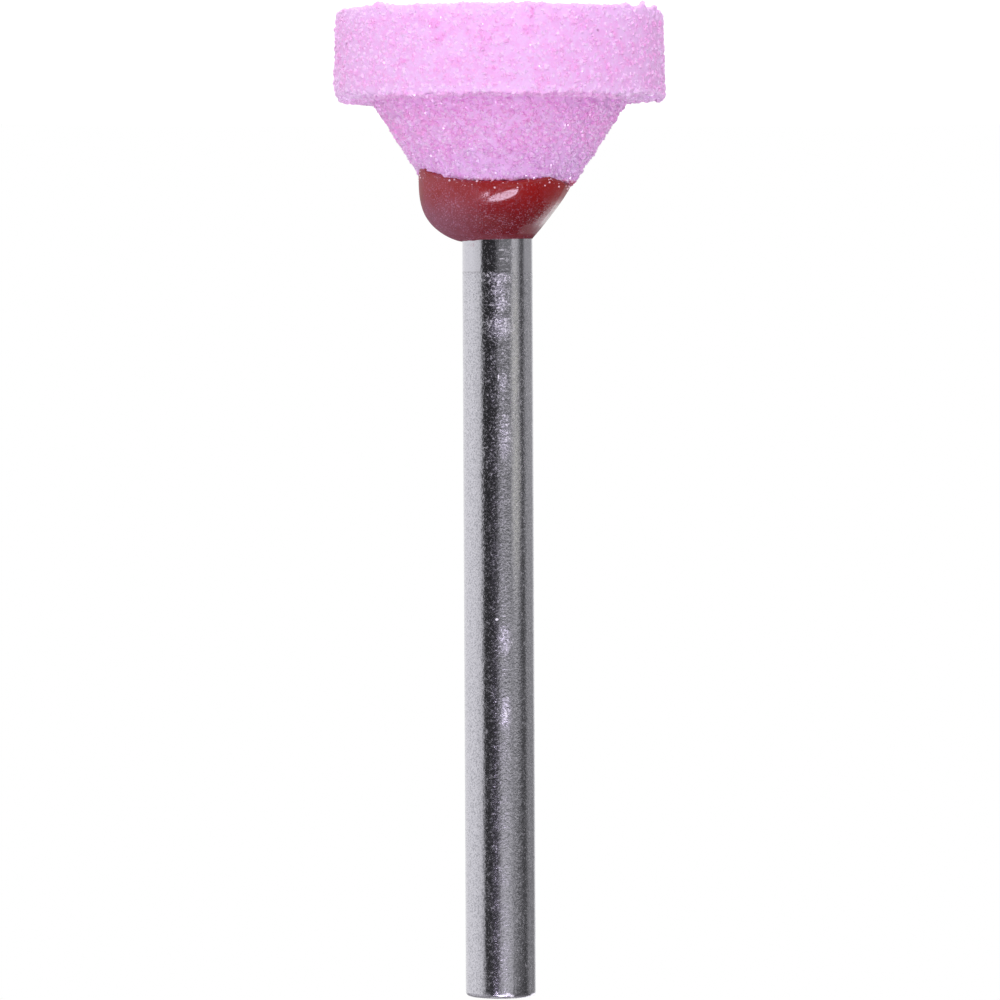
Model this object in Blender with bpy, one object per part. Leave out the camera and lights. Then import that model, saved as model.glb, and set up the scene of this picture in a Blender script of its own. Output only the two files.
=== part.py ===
"""Mounted point: a small vitrified grinding stone, cemented on the end of a steel shank.

The stone is a short wheel with a conical back and a blind bore. The shank's knurled end sits in
that bore in a film of cement, and the same cement runs up into a bead between stone and shank.
The grinding face lies on z = 0 and the shank points up along +Z, so the tool stands on its head.
Angles go round +Z from +X. All sizes are in metres.
"""

import math

import bmesh
import bpy

# The wheel part of the stone
RIM_DIAMETER = 0.0148  # at the grinding face
RIM_HEIGHT = 0.00395
MOULD_DRAFT = math.radians(1.4)  # the rim widens away from the face by this slope

# The conical back of the stone
BACK_BASE_DIAMETER = 0.01155  # leaves a flat shoulder under the rim
BACK_TIP_DIAMETER = 0.0068
BACK_HEIGHT = 0.00365

# The corners of the rim, worn and chipped unevenly
FACE_CORNER = 0.00014
FACE_CORNER_WORN = 0.00036
FACE_CORNER_WORN_AT = math.radians(180)
FACE_CORNER_WORN_SPREAD = math.radians(75)
FACE_CHIP_DEPTH = 0.00028
FACE_CHIP_AT = math.radians(-22)
FACE_CHIP_SPREAD = math.radians(24)
SHOULDER_CORNER = 0.00012
SHOULDER_CORNER_WORN = 0.00033
SHOULDER_CORNER_WORN_AT = math.radians(0)
SHOULDER_CORNER_WORN_SPREAD = math.radians(80)

# The steel shank
SHANK_DIAMETER = 0.003175
SHANK_REACH = 0.0369  # from the tip of the stone's back to the free end
FREE_END_ROUND = 0.00020
SEATED_END_CHAMFER = 0.00030
KNURL_TEETH = 24
KNURL_DEPTH = 0.00010
KNURL_LENGTH = 0.00360  # from the seated end, with its run-out
KNURL_RUN_OUT = 0.00030

# The bore and the cement that fills it
BORE_DEPTH = 0.0050  # from the tip of the back
CEMENT_FILM = 0.00020  # round the shank, over the crests of its knurl
CEMENT_FLOOR = 0.00030  # under the seated end
BOND_GAP = 0.00005  # left between two faces that are bonded

# The bead: fat and rounded towards +X, lean and straight towards -X
BEAD_HEIGHT = 0.00262  # from the tip of the back to where the bead ends on the shank
BEAD_EDGE = 0.00007  # thickness of the bead's two thin edges
BEAD_MEAN_OVERLAP = -0.00008  # how far the bead passes the tip's edge on its way down the back
BEAD_OVERLAP_SLANT = 0.00010  # added towards +X and taken off towards -X
BEAD_DROP = 2.2  # how late the bead's side turns in on its way up: 1 at once, 3 late
BEAD_DROP_SLANT = 1.0
BEAD_BLUNTNESS = 1.2  # how bluntly it meets the shank: 1 is a straight run
BEAD_BLUNTNESS_SLANT = 0.2
RUN_LENGTH = 0.00070  # where the cement ran down the back before it set
RUN_AT = math.radians(-22)
RUN_SPREAD = math.radians(45)
SMALL_RUN_LENGTH = 0.00036
SMALL_RUN_AT = math.radians(-128)
SMALL_RUN_SPREAD = math.radians(30)

# Fineness of the round faces
FACETS_A_TOOTH = 4
FACETS_AROUND = KNURL_TEETH * FACETS_A_TOOTH
CORNER_STEPS = 4
BEAD_SIDE_STEPS = 10
SMOOTH_BELOW = math.radians(30)

# Sizes and places that follow
RIM_RADIUS = RIM_DIAMETER / 2
BACK_BASE_RADIUS = BACK_BASE_DIAMETER / 2
TIP_RADIUS = BACK_TIP_DIAMETER / 2
SHANK_RADIUS = SHANK_DIAMETER / 2
BORE_RADIUS = SHANK_RADIUS + CEMENT_FILM + 2 * BOND_GAP
TIP_Z = RIM_HEIGHT + BACK_HEIGHT
BORE_FLOOR_Z = TIP_Z - BORE_DEPTH
SEATED_END_Z = BORE_FLOOR_Z + CEMENT_FLOOR + 2 * BOND_GAP
FREE_END_Z = TIP_Z + SHANK_REACH
BACK_SLOPE = math.atan2(BACK_BASE_RADIUS - TIP_RADIUS, BACK_HEIGHT)  # from the axis
# From the bore to the tip's edge, a bond gap off the stone
TIP_WIDTH = TIP_RADIUS + BOND_GAP * math.tan((math.pi / 2 - BACK_SLOPE) / 2) - BORE_RADIUS


def hump(angle, centre, spread):
    """A smooth rise round the axis: 1 at the centre, and 0 from the spread outwards."""
    away = abs(math.remainder(angle - centre, math.tau))
    if away >= spread:
        return 0.0
    return math.cos(away / spread * math.pi / 2) ** 2


def rounded_corner(before, corner, after, radius):
    """Points of an arc that rounds a corner of a section, starting on the side of before."""
    into = direction(corner, before)
    out = direction(corner, after)
    half_angle = math.acos(into[0] * out[0] + into[1] * out[1]) / 2
    cut_back = radius / math.tan(half_angle)
    start = (corner[0] + into[0] * cut_back, corner[1] + into[1] * cut_back)
    end = (corner[0] + out[0] * cut_back, corner[1] + out[1] * cut_back)
    middle = direction(corner, ((start[0] + end[0]) / 2, (start[1] + end[1]) / 2))
    reach = radius / math.sin(half_angle)
    centre = (corner[0] + middle[0] * reach, corner[1] + middle[1] * reach)
    first = math.atan2(start[1] - centre[1], start[0] - centre[0])
    sweep = math.remainder(math.atan2(end[1] - centre[1], end[0] - centre[0]) - first, math.tau)
    points = []
    for step in range(CORNER_STEPS + 1):
        turn = first + sweep * step / CORNER_STEPS
        points.append((centre[0] + radius * math.cos(turn), centre[1] + radius * math.sin(turn)))
    return points


def direction(start, end):
    """The unit vector from one point of a section to another."""
    length = math.dist(start, end)
    return ((end[0] - start[0]) / length, (end[1] - start[1]) / length)


def lofted_solid(name, section_at, material):
    """Loft a section round the Z axis, and close it with a flat cap at each end.

    section_at(angle) gives (radius, z) points, from the rim of one cap to the rim of the other.
    """
    shell = bmesh.new()
    columns = []
    for facet in range(FACETS_AROUND):
        angle = math.tau * facet / FACETS_AROUND
        columns.append(
            [
                shell.verts.new((radius * math.cos(angle), radius * math.sin(angle), z))
                for radius, z in section_at(angle)
            ]
        )
    for facet, column in enumerate(columns):
        following = columns[(facet + 1) % FACETS_AROUND]
        for step in range(len(column) - 1):
            shell.faces.new((column[step], following[step], following[step + 1], column[step + 1]))
    shell.faces.new([column[0] for column in columns])
    shell.faces.new([column[-1] for column in columns])
    bmesh.ops.recalc_face_normals(shell, faces=shell.faces)

    mesh = bpy.data.meshes.new(name)
    shell.to_mesh(mesh)
    shell.free()
    mesh.shade_smooth()
    mesh.set_sharp_from_angle(angle=SMOOTH_BELOW)
    mesh.materials.append(material)
    solid = bpy.data.objects.new(name, mesh)
    bpy.context.collection.objects.link(solid)
    return solid


def finish(name, colour, roughness, metallic):
    """A plain material of one colour."""
    material = bpy.data.materials.new(name)
    material.use_nodes = True
    shader = material.node_tree.nodes["Principled BSDF"]
    shader.inputs["Base Color"].default_value = (*colour, 1.0)
    shader.inputs["Roughness"].default_value = roughness
    shader.inputs["Metallic"].default_value = metallic
    return material


# The stone


def stone_section(angle):
    """The stone from its grinding face, over the rim and the back, down into the bore."""
    face_corner = (
        FACE_CORNER
        + (FACE_CORNER_WORN - FACE_CORNER) * hump(angle, FACE_CORNER_WORN_AT, FACE_CORNER_WORN_SPREAD)
        + FACE_CHIP_DEPTH * hump(angle, FACE_CHIP_AT, FACE_CHIP_SPREAD)
    )
    shoulder_corner = SHOULDER_CORNER + (SHOULDER_CORNER_WORN - SHOULDER_CORNER) * hump(
        angle, SHOULDER_CORNER_WORN_AT, SHOULDER_CORNER_WORN_SPREAD
    )
    face_edge = (RIM_RADIUS, 0.0)
    shoulder_edge = (RIM_RADIUS + RIM_HEIGHT * math.tan(MOULD_DRAFT), RIM_HEIGHT)
    back_base = (BACK_BASE_RADIUS, RIM_HEIGHT)
    return [
        *rounded_corner((0.0, 0.0), face_edge, shoulder_edge, face_corner),
        *rounded_corner(face_edge, shoulder_edge, back_base, shoulder_corner),
        back_base,
        (TIP_RADIUS, TIP_Z),
        (BORE_RADIUS, TIP_Z),
        (BORE_RADIUS, BORE_FLOOR_Z),
    ]


# The shank


def knurled_radius(angle):
    """The shank's radius where it is knurled: straight teeth, with their crests at full size."""
    return SHANK_RADIUS - KNURL_DEPTH * (1 - math.cos(KNURL_TEETH * angle)) / 2


def shank_section(angle):
    """The pin from its seated end, over the knurl, to its free end."""
    end_face = (0.0, FREE_END_Z)
    free_edge = (SHANK_RADIUS, FREE_END_Z)
    knurl_end = (SHANK_RADIUS, SEATED_END_Z + KNURL_LENGTH)
    return [
        (SHANK_RADIUS - SEATED_END_CHAMFER, SEATED_END_Z),
        (knurled_radius(angle), SEATED_END_Z + SEATED_END_CHAMFER),
        (knurled_radius(angle), knurl_end[1] - KNURL_RUN_OUT),
        knurl_end,
        *rounded_corner(knurl_end, free_edge, end_face, FREE_END_ROUND),
    ]


# The cement


def on_stone(distance):
    """A point a bond gap off the stone, this far along its tip from the bore and down the back."""
    down_back = max(0.0, distance - TIP_WIDTH)
    return (
        BORE_RADIUS + distance - down_back + down_back * math.sin(BACK_SLOPE),
        TIP_Z + BOND_GAP - down_back * math.cos(BACK_SLOPE),
    )


def bead_side(lower, drop, bluntness):
    """The bead's outer side, from its lower edge up to its edge on the shank."""
    upper = (SHANK_RADIUS + BOND_GAP + BEAD_EDGE, TIP_Z + BEAD_HEIGHT)
    points = []
    for step in range(BEAD_SIDE_STEPS + 1):
        upward = math.sin(math.pi / 2 * step / BEAD_SIDE_STEPS)
        outward = (1 - upward**drop) ** (1 / bluntness)
        points.append(
            (
                upper[0] + (lower[0] - upper[0]) * outward,
                lower[1] + (upper[1] - lower[1]) * upward,
            )
        )
    return points


def cement_section(angle):
    """The cement from the bore's floor, round the bead, down the shank to the shank's end."""
    towards_fat_side = math.cos(angle)
    overlap = (
        BEAD_MEAN_OVERLAP
        + BEAD_OVERLAP_SLANT * towards_fat_side
        + RUN_LENGTH * hump(angle, RUN_AT, RUN_SPREAD)
        + SMALL_RUN_LENGTH * hump(angle, SMALL_RUN_AT, SMALL_RUN_SPREAD)
    )
    over_tip = min(TIP_WIDTH, TIP_WIDTH + overlap - BEAD_EDGE)
    lip = on_stone(TIP_WIDTH + overlap)
    lower = (
        lip[0] + BEAD_EDGE * math.cos(BACK_SLOPE),
        lip[1] + BEAD_EDGE * math.sin(BACK_SLOPE),
    )
    chamfer_gap = BOND_GAP * math.tan(math.pi / 8)
    socket = knurled_radius(angle) + BOND_GAP
    return [
        (BORE_RADIUS - BOND_GAP, BORE_FLOOR_Z + BOND_GAP),
        (BORE_RADIUS - BOND_GAP, TIP_Z + BOND_GAP),
        on_stone(over_tip),
        on_stone((over_tip + TIP_WIDTH + overlap) / 2),
        lip,
        *bead_side(
            lower,
            BEAD_DROP + BEAD_DROP_SLANT * towards_fat_side,
            BEAD_BLUNTNESS + BEAD_BLUNTNESS_SLANT * towards_fat_side,
        ),
        (SHANK_RADIUS + BOND_GAP, TIP_Z + BEAD_HEIGHT),
        (SHANK_RADIUS + BOND_GAP, SEATED_END_Z + KNURL_LENGTH),
        (socket, SEATED_END_Z + KNURL_LENGTH - KNURL_RUN_OUT),
        (socket, SEATED_END_Z + SEATED_END_CHAMFER - chamfer_gap),
        (SHANK_RADIUS - SEATED_END_CHAMFER + chamfer_gap, SEATED_END_Z - BOND_GAP),
    ]


def main():
    for leftover in list(bpy.data.objects):
        bpy.data.objects.remove(leftover, do_unlink=True)

    pink_alumina = finish("pink_alumina", (0.82, 0.43, 0.80), 0.72, 0.0)
    red_cement = finish("red_cement", (0.19, 0.026, 0.032), 0.24, 0.0)
    ground_steel = finish("ground_steel", (0.42, 0.41, 0.43), 0.34, 1.0)

    lofted_solid("abrasive_head", stone_section, pink_alumina)
    lofted_solid("cement", cement_section, red_cement)
    lofted_solid("shank", shank_section, ground_steel)


main()
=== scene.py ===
"""The looks of a mounted point: a grainy stone, a bead of cement and a steel shank, in a white studio.

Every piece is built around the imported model, in metres, with the grinding face on z = 0 and the
shank along +Z. Angles go round +Z from +X. The camera looks along +Y and is held upside down, so
that the stone is at the top of the picture and +X points to its left.
"""

import math

import bpy
import numpy as np
from bpy.props import FloatProperty, FloatVectorProperty, IntProperty, PointerProperty
from bpy.types import Operator, Panel, PropertyGroup
from mathutils import Matrix, Vector, noise


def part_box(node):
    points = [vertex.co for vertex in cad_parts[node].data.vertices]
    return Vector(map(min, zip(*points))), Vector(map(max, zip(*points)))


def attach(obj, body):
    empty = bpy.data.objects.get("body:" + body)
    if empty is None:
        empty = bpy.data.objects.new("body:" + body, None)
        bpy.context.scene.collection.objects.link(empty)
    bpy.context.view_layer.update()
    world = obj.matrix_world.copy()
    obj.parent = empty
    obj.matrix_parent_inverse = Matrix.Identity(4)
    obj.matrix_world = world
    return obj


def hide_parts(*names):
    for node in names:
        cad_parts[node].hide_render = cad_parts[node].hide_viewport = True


bl_info = {
    "name": "Mounted Point",
    "version": (1, 0, 0),
    "blender": (4, 5, 0),
    "location": "3D View > Sidebar > Mounted Point",
    "description": "Builds a cemented grinding point with its finishes, and a white studio for it",
    "category": "Add Mesh",
}

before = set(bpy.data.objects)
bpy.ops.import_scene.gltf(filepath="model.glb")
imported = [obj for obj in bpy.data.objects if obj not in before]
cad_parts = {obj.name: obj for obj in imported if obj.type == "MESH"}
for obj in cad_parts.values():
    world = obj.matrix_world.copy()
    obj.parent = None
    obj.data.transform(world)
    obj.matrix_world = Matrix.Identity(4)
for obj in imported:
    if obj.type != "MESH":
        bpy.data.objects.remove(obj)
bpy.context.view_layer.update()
_, HEAD_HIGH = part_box("abrasive_head")
CEMENT_LOW, CEMENT_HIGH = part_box("cement")
SHANK_LOW, SHANK_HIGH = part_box("shank")
MM = 0.001


# Settings


def length(name, description, default):
    """A setting that is a length."""
    return FloatProperty(
        name=name, description=description, default=default, subtype="DISTANCE", unit="LENGTH"
    )


def colour(name, description, default):
    """A setting that is a colour."""
    return FloatVectorProperty(
        name=name, description=description, default=default, subtype="COLOR", size=3, min=0.0, max=1.0
    )


class StoneSettings(PropertyGroup):
    """The stone's form, its grain and its colours."""

    face_radius: length(
        "Face radius", "Radius of the grinding face, before its corner is worn", 7.4 * MM
    )
    rim_height: length("Rim height", "Height of the wheel-shaped part", 3.95 * MM)
    back_base_radius: length(
        "Back base radius", "Radius of the conical back where it meets the shoulder", 5.775 * MM
    )
    tip_radius: length("Tip radius", "Radius of the conical back at its tip", 3.4 * MM)
    rim_relief: length(
        "Rim relief", "How far the dressed surface of the rim rises and falls", 0.026 * MM
    )
    back_relief: length(
        "Back relief", "How far the rougher, moulded surface of the back rises and falls", 0.064 * MM
    )
    inset: length("Inset", "How far the bond lies under the tips of the grains", 0.045 * MM)
    grain_size: length("Grain size", "Mean diameter of an abrasive grain", 0.235 * MM)
    grain_count: IntProperty(
        name="Grains",
        description="How many separate grains lie in the surface",
        default=21000,
        min=0,
    )
    pale: colour("Pale grain", "Colour of the palest grains", (0.905, 0.615, 0.935))
    pink: colour("Pink grain", "Colour of the most strongly tinted grains", (0.905, 0.375, 0.80))
    bond: colour("Bond", "Colour of the glassy bond between the grains", (0.85, 0.45, 0.89))


class CementSettings(PropertyGroup):
    """The bead of cement between stone and shank."""

    top: length("Top", "Height at which the bead ends on the shank", CEMENT_HIGH.z)
    # The cement's colour at its foot is darkened with painted shade, and next to the stone it is painted
    # brighter, as if light came through the thin cement
    red: colour("Cement", "Colour of the set cement at its foot, on the shank", (0.175, 0.008, 0.013))
    lit_red: colour(
        "Cement under the stone",
        "Colour of the cement where it is thin and light comes through, next to the stone",
        (0.305, 0.008, 0.007),
    )
    # The dust's colour also tints a painted reflection haze on the +X side of the bead
    dust: colour("Dust", "Colour of the grinding dust that clings to the bead", (0.66, 0.33, 0.52))


class ShankSettings(PropertyGroup):
    """The steel pin."""

    radius: length("Radius", "Radius of the ground shank", SHANK_HIGH.x)
    end_round: length("End rounding", "Radius of the free end's rounded edge", 0.20 * MM)
    steel: colour("Steel", "Colour of the bare steel", (0.61, 0.60, 0.655))
    frost: colour(
        "Frosted steel", "Colour of the steel where it is scuffed and frosted", (0.88, 0.87, 0.90)
    )


class StudioSettings(PropertyGroup):
    """Where the camera stands and how much it sees."""

    distance: length("Camera distance", "From the shank's axis to the camera", 0.260)
    camera_height: length(
        "Camera height", "Height of the camera over the grinding face", 15.2 * MM
    )
    frame_height: length(
        "Picture height", "How much of the shank's axis the picture takes in", 45.2 * MM
    )
    look_at_height: length(
        "Look-at height", "Height on the shank that comes to the middle of the picture", 21.97 * MM
    )


# Meshes

BAKE_MAP = "OFBake"


def new_piece(name, points, faces, material, smooth=True):
    """A mesh object from arrays of points and faces."""
    mesh = bpy.data.meshes.new(name)
    mesh.from_pydata(points, [], faces)
    mesh.materials.append(material)
    if smooth:
        mesh.shade_smooth()
    piece = bpy.data.objects.new(name, mesh)
    bpy.context.collection.objects.link(piece)
    return piece


def lay_out(piece, places):
    """Lays a piece out flat for baking: a place in the unit square for each corner of each face."""
    layout = piece.data.uv_layers.new(name=BAKE_MAP)
    layout.data.foreach_set("uv", np.asarray(places, np.float32).ravel())


def unrolled(turns):
    """Places round a full turn for the corners of each face, with no face split where it starts."""
    return np.where(turns.max(1, keepdims=True) - turns > 0.5, turns + 1.0, turns) * 0.96


def tube(rows, columns):
    """The faces of rings of points with a flat face at both ends, and their layout for baking."""
    row = np.arange(rows - 1)[:, None, None]
    column = np.arange(columns)[None, :, None]
    ahead = np.array([0, 1, 1, 0])
    up = np.array([0, 0, 1, 1])
    sides = (row + up) * columns + (column + ahead) % columns
    across, along_it = np.broadcast_arrays((column + ahead) / columns, (row + up) / (rows - 1))
    faces = sides.reshape(-1, 4).tolist()
    faces.append(list(reversed(range(columns))))
    faces.append([(rows - 1) * columns + i for i in range(columns)])
    # The sides take up the upper three quarters of the layout, and the ends are discs below them
    disc = round_axis(np.arange(columns) * math.tau / columns, 0.11)[:, :2]
    side_places = np.stack([across, 0.25 + 0.75 * along_it], -1).reshape(-1, 2)
    return faces, np.concatenate([side_places, disc[::-1] + (0.12, 0.12), disc + (0.37, 0.12)])


def numbers(items, name, width=3):
    """One attribute of all the items of a mesh, as an array with a row for each item."""
    found = np.empty(len(items) * width, np.float32)
    items.foreach_get(name, found)
    return found.reshape(-1, width).astype(np.float64)


def triangle_corners(mesh):
    """The vertex numbers of the corners of a mesh of triangles, a row for each triangle."""
    found = np.empty(len(mesh.loops), np.int32)
    mesh.loops.foreach_get("vertex_index", found)
    return found.reshape(-1, 3)


def along(outline, spacing):
    """Points along an outline of (radius, z) corners, with every corner kept.

    spacing holds the greatest distance between points for each of the outline's sides.
    """
    points = [np.array(outline[0], float)]
    for start, end, step in zip(outline, outline[1:], spacing, strict=False):
        start = np.array(start, float)
        end = np.array(end, float)
        count = max(1, math.ceil(np.linalg.norm(end - start) / step))
        points += [start + (end - start) * i / count for i in range(1, count + 1)]
    return np.array(points)


def even_rings(profile, steps):
    """Rings of evenly spaced points round the axis, and the triangles between them.

    profile holds (radius, z) rows and steps the spacing wanted round each ring.
    Returns the angle and the profile row of each point, and the triangles.
    """
    golden = (math.sqrt(5) - 1) / 2
    angles = []
    rows = []
    rings = []
    first = 0
    for row, ((radius, _), step) in enumerate(zip(profile, steps, strict=True)):
        count = max(6, round(math.tau * radius / step)) if radius > step / 2 else 1
        shift = (row * golden) % 1.0
        angles.append((np.arange(count) + shift) * math.tau / count)
        rows.append(np.full(count, row))
        rings.append((first, count, shift))
        first += count
    faces = [face for pair in zip(rings, rings[1:], strict=False) for face in between_rings(*pair)]
    return np.concatenate(angles), np.concatenate(rows), faces


def between_rings(lower, upper):
    """Triangles between two rings, each given by its first point, its count and its shift."""
    first, count, shift = lower
    other_first, other_count, other_shift = upper
    if count == 1:
        return [
            (first, other_first + (i + 1) % other_count, other_first + i) for i in range(other_count)
        ]
    if other_count == 1:
        return [(first + i, first + (i + 1) % count, other_first) for i in range(count)]
    faces = []
    i = 0
    j = 0
    while i < count or j < other_count:
        here = first + i % count
        there = other_first + j % other_count
        step_here = i < count and (
            j == other_count or (i + 1 + shift) / count <= (j + 1 + other_shift) / other_count
        )
        if step_here:
            i += 1
            faces.append((here, first + i % count, there))
        else:
            j += 1
            faces.append((here, other_first + j % other_count, there))
    return faces


def move_points(piece, points):
    """Puts the points of a piece in new places."""
    piece.data.vertices.foreach_set("co", points.astype(np.float32).ravel())
    piece.data.update()


def round_axis(angles, radius):
    """Points on a circle round the axis."""
    return np.stack([np.cos(angles), np.sin(angles), np.zeros_like(angles)], 1) * radius


def polar(points):
    """The angle of each point round the axis, and how far from the axis it is."""
    return np.arctan2(points[:, 1], points[:, 0]), np.hypot(points[:, 0], points[:, 1])


def hump(angles, centre, spread):
    """A smooth rise round the axis: 1 at the centre and 0 from the spread outwards, in degrees."""
    spread = math.radians(spread)
    away = np.abs(np.mod(angles - math.radians(centre) + math.pi, math.tau) - math.pi)
    return np.where(away < spread, np.cos(np.minimum(away / spread, 1.0) * math.pi / 2) ** 2, 0.0)


def soft_noise(points, size, seed):
    """Smooth noise from about -1 to 1 at each point, with bumps of the given size."""
    offset = Vector((seed * 7.31, seed * 3.17, seed * 1.93))
    return np.array([noise.noise(Vector(p) / size + offset) for p in points])


def faceted_noise(points, size, seed):
    """Small flat facets, each tilted its own way: the faces of grains in a broken surface."""
    offset = Vector((seed * 5.17, seed * 2.71, seed * 8.39))
    heights = np.empty(len(points))
    for i, p in enumerate(points):
        place = Vector(p) / size + offset
        seat = noise.voronoi(place)[1][0]
        tilt = noise.cell_vector(seat * 19.7)
        heights[i] = (tilt - Vector((0.5, 0.5, 0.5))).dot(place - seat) * 1.6 + tilt.x - 0.5
    return heights


# The stone

EDGE_LUMPS = (
    # where and how far to each side, in degrees, and how high in millimetres
    (-43.0, 3.4, 0.19),
    (-36.0, 3.0, 0.09),
    (-28.0, 4.0, -0.08),
    (0.0, 22.0, -0.10),
    (-134.0, 3.0, 0.08),
    (-141.0, 3.0, 0.19),
    (-151.0, 3.4, 0.22),
    (-161.0, 4.5, 0.20),
)
SHOULDER_LUMPS = (
    # the same columns
    (178.0, 75.0, -0.20),
    (180.0, 30.0, 0.12),
    (147.0, 14.0, -0.10),
)
SHOULDER_RADIUS = HEAD_HIGH.y
FACE_CORNER = 0.10 * MM
FACE_CORNER_WORN = 0.36 * MM
SHOULDER_CORNER = 0.11 * MM
SHOULDER_CORNER_WORN = 0.60 * MM
CORNER_UNEVENNESS = 0.10 * MM
TIP_SWELL = 0.06 * MM
TIP_SWELL_ASIDE = 0.12 * MM
# Where each is worn or swollen most and how far to each side, in degrees
FACE_WORN_AT = (180, 14)
SHOULDER_WORN_AT = (-8, 50)
TIP_SWOLLEN_AT = (180, 75)
TIP_CHAMFER = 0.19 * MM
TIP_CHAMFER_HEIGHT = 0.13 * MM
UNDER_BEAD = 0.5 * MM
FILM_THICKNESS = 0.25 * MM
BOND_GAP = 0.05 * MM
VISIBLE_SIDES = 6
VISIBLE_SPACING = 0.088 * MM
HIDDEN_SPACING = 0.40 * MM


def rounded(inward, upward, corner):
    """Moves points on two square sides of an edge onto an arc, and returns both distances."""
    near = (inward < corner) & (upward < corner)
    to_edge = np.stack([corner - inward, corner - upward])
    arc = corner - to_edge * corner / np.maximum(np.hypot(*to_edge), 1e-9)
    return np.where(near, arc[0], inward), np.where(near, arc[1], upward)


def tip_swell(angles):
    """How much further the stone's tip reaches in some places than its drawn height."""
    return TIP_SWELL + TIP_SWELL_ASIDE * hump(angles, *TIP_SWOLLEN_AT)


def stone_outline(settings):
    """The stone's section, from the middle of its face round to the floor of the hole."""
    tip_z = HEAD_HIGH.z
    tip_edge = settings.tip_radius + 0.08 * MM
    bore_radius = SHANK_HIGH.x + FILM_THICKNESS + BOND_GAP
    bore_floor = CEMENT_LOW.z - BOND_GAP
    return [
        (0.0, 0.0),
        (settings.face_radius, 0.0),
        (SHOULDER_RADIUS, settings.rim_height),
        (settings.back_base_radius, settings.rim_height),
        (tip_edge, tip_z - TIP_CHAMFER_HEIGHT),
        (tip_edge - TIP_CHAMFER, tip_z),
        (bore_radius, tip_z),
        (bore_radius, bore_floor),
        (0.0, bore_floor),
    ]


def worn_rim(angles, radius, height, settings):
    """The radius and height of the rim's points once both of its corners are worn."""
    unevenness = soft_noise(round_axis(angles, settings.face_radius), size=0.5 * MM, seed=1)
    rough_corner = CORNER_UNEVENNESS * np.maximum(unevenness, -0.2)
    wall = settings.face_radius + (SHOULDER_RADIUS - settings.face_radius) * height / settings.rim_height
    worn = (FACE_CORNER_WORN - FACE_CORNER) * hump(angles, *FACE_WORN_AT)
    inward, height = rounded(wall - radius, height, FACE_CORNER + rough_corner + worn)
    radius = wall - inward
    worn = (SHOULDER_CORNER_WORN - SHOULDER_CORNER) * hump(angles, *SHOULDER_WORN_AT)
    inward, downward = rounded(
        wall - radius, settings.rim_height - height, SHOULDER_CORNER + rough_corner + worn
    )
    return wall - inward, settings.rim_height - downward


def stone_layout(angles, rows, profile, faces, face_row, floor_row):
    """The stone's baking layout: a disc for its face and for the hole's floor, and a strip between."""
    corners = np.array(faces)
    run = np.concatenate([[0.0], np.hypot(*np.diff(profile, axis=0).T).cumsum()])
    down = (run[rows] - run[face_row]) / (run[floor_row] - run[face_row])
    strip = np.stack([unrolled((angles / math.tau)[corners]), 0.5 + 0.49 * down[corners]], 2)
    disc = round_axis(angles, 0.24)[:, :2] * profile[rows, :1] / profile[face_row, 0]
    on_face = (rows[corners].max(1) <= face_row)[:, None, None]
    on_floor = (rows[corners].min(1) >= floor_row)[:, None, None]
    places = np.where(on_face, disc[corners] + (0.25, 0.25), strip)
    return np.where(on_floor, disc[corners] + (0.75, 0.25), places)


def stone_surface(settings):
    """The points and triangles of the stone, worn but still without grain, and its baking layout."""
    outline = stone_outline(settings)
    hidden_sides = len(outline) - 1 - VISIBLE_SIDES
    spacing = [VISIBLE_SPACING] * VISIBLE_SIDES + [HIDDEN_SPACING] * hidden_sides
    profile = along(outline, spacing)
    visible_points = len(along(outline[: VISIBLE_SIDES + 1], spacing))
    steps = [VISIBLE_SPACING] * visible_points
    steps += [HIDDEN_SPACING] * (len(profile) - visible_points)
    angles, rows, faces = even_rings(profile, steps)
    radius, height = profile[rows].T
    on_rim = rows < len(along(outline[:4], spacing))
    radius, height = np.where(on_rim, worn_rim(angles, radius, height, settings), (radius, height))
    # The tip reaches a little further than drawn, and its skin keeps to the cone's slope
    tip_z = HEAD_HIGH.z
    reached = tip_swell(angles) * np.clip((height - tip_z + 0.5 * MM) / (0.4 * MM), 0.0, 1.0)
    slope = (settings.back_base_radius - settings.tip_radius) / (tip_z - settings.rim_height)
    seen = radius > settings.tip_radius - UNDER_BEAD
    radius = np.where(seen, radius - slope * reached, radius)
    height = height + reached
    points = np.stack([radius * np.cos(angles), radius * np.sin(angles), height], 1)
    face_row = len(along(outline[:2], spacing)) - 1
    floor_row = len(along(outline[:-1], spacing)) - 1
    return points, faces, stone_layout(angles, rows, profile, faces, face_row, floor_row)


def stone_relief(points, settings):
    """How far each point of the stone's surface stands out, or in where it is negative."""
    broken = (
        0.50 * soft_noise(points, size=0.60 * MM, seed=2)
        + 0.55 * faceted_noise(points, size=0.26 * MM, seed=3)
        + 0.40 * soft_noise(points, size=0.17 * MM, seed=4)
    )
    on_back = points[:, 2] > settings.rim_height - 0.1 * MM
    return np.where(on_back, settings.back_relief, settings.rim_relief) * broken - settings.inset


def lumps_round(angles, table):
    """The heights, round the axis, of the lumps in a table."""
    return sum(lump * MM * hump(angles, centre, spread) for centre, spread, lump in table)


def edge_burrs(points, settings):
    """Grains and lumps that stand proud of the face along its edge."""
    angles, reach = polar(points)
    near_edge = np.clip(1 - (settings.face_radius - reach) / (0.9 * MM), 0.0, 1.0)
    near_edge *= np.clip(1 - points[:, 2] / (0.45 * MM), 0.0, 1.0)
    ragged = soft_noise(round_axis(angles, settings.face_radius), size=0.55 * MM, seed=12)
    height = settings.inset + 0.04 * MM + 0.09 * MM * np.maximum(ragged, -0.3)
    return near_edge * (height + lumps_round(angles, EDGE_LUMPS))


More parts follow.
